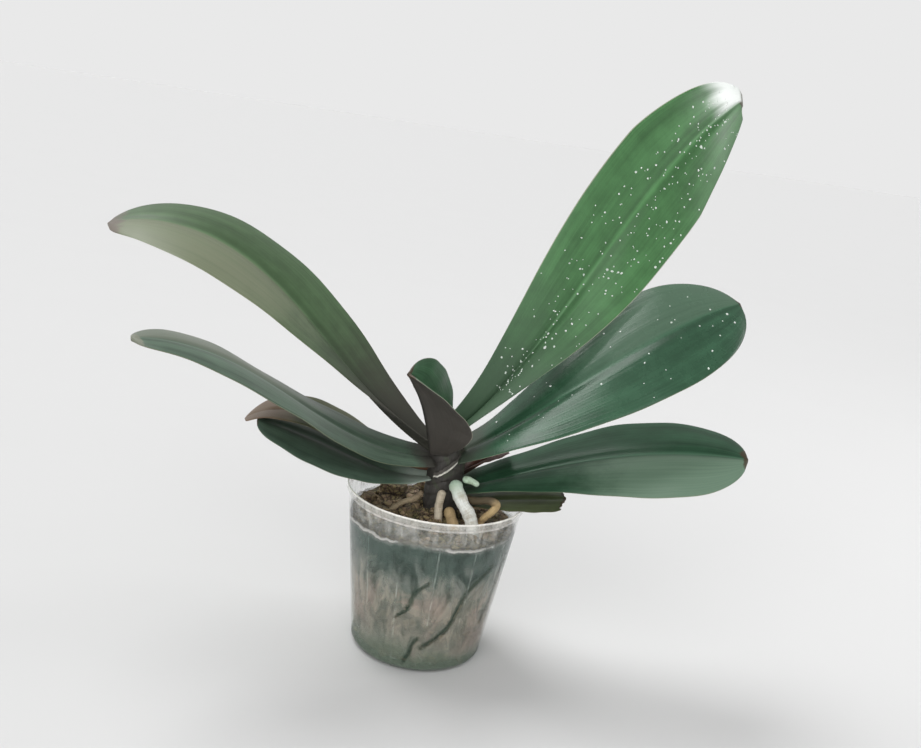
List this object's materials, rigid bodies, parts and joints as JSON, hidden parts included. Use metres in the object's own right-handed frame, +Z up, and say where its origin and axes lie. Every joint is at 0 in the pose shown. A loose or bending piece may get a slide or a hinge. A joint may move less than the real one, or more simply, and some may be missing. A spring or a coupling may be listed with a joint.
{
  "type": "potted orchid",
  "caption": "Flowerless strap-leaved orchid in a clear growing pot: two ranks of thick leaves, a short stem, aerial roots and bark",
  "frame": {"origin": "centre of the flat underside of the pot, where it rests", "axes": "+Z up along the pot's axis, +X towards the side the large leaves lean to, -Y is the front"},
  "size_m": [0.433, 0.2319, 0.4056],
  "materials": {
    "bark_bed": "damp composted bark",
    "bark_chip_1": "rough dry bark",
    "bark_chip_2": "rough dry bark",
    "bark_chip_3": "rough dry bark",
    "bark_chip_4": "rough dry bark",
    "bark_chip_5": "rough dry bark",
    "bark_chip_6": "rough dry bark",
    "bark_chip_7": "rough dry bark",
    "bark_chip_8": "rough dry bark",
    "leaf_centre": "young leaf, purple brown outside",
    "leaf_left_back": "grey green underside, satin",
    "leaf_left_low": "dark green, waxy gloss",
    "leaf_left_middle": "grey green underside, satin",
    "leaf_left_top": "grey green underside, satin",
    "leaf_right_low": "dark green, waxy gloss",
    "leaf_right_middle": "dark green, waxy gloss",
    "leaf_right_top": "fresh green, waxy, water drops",
    "leaf_right_torn": "olive, torn and browned at the end",
    "old_leaf_stub": "dried dark reddish brown",
    "pot": "clear, faintly green, glossy, misted inside",
    "root_front": "tan corky skin",
    "root_left": "tan corky skin",
    "root_right": "tan corky skin",
    "root_silver": "silver-white corky skin",
    "root_stub": "tan corky skin",
    "root_thin": "tan corky skin",
    "root_tip": "silver-white corky skin",
    "sheath": "dry papery leaf sheath",
    "stem": "dark leathery leaf bases",
    "wall_root_back": "wet green root",
    "wall_root_front": "wet green root",
    "wall_root_left": "wet green root",
    "wall_root_low": "wet green root",
    "wall_root_right": "wet green root",
    "wall_root_side": "wet green root"
  },
  "bodies": {
    "root": {"bark_bed": "bark_bed", "bark_chip_1": "bark_chip_1", "bark_chip_2": "bark_chip_2", "bark_chip_3": "bark_chip_3", "bark_chip_4": "bark_chip_4", "bark_chip_5": "bark_chip_5", "bark_chip_6": "bark_chip_6", "bark_chip_7": "bark_chip_7", "bark_chip_8": "bark_chip_8", "leaf_centre": "leaf_centre", "leaf_left_back": "leaf_left_back", "leaf_left_low": "leaf_left_low", "leaf_left_middle": "leaf_left_middle", "leaf_left_top": "leaf_left_top", "leaf_right_low": "leaf_right_low", "leaf_right_middle": "leaf_right_middle", "leaf_right_top": "leaf_right_top", "leaf_right_torn": "leaf_right_torn", "old_leaf_stub": "old_leaf_stub", "pot": "pot", "root_front": "root_front", "root_left": "root_left", "root_right": "root_right", "root_silver": "root_silver", "root_stub": "root_stub", "root_thin": "root_thin", "root_tip": "root_tip", "sheath": "sheath", "stem": "stem", "wall_root_back": "wall_root_back", "wall_root_front": "wall_root_front", "wall_root_left": "wall_root_left", "wall_root_low": "wall_root_low", "wall_root_right": "wall_root_right", "wall_root_side": "wall_root_side"}
  },
  "joints": []
}
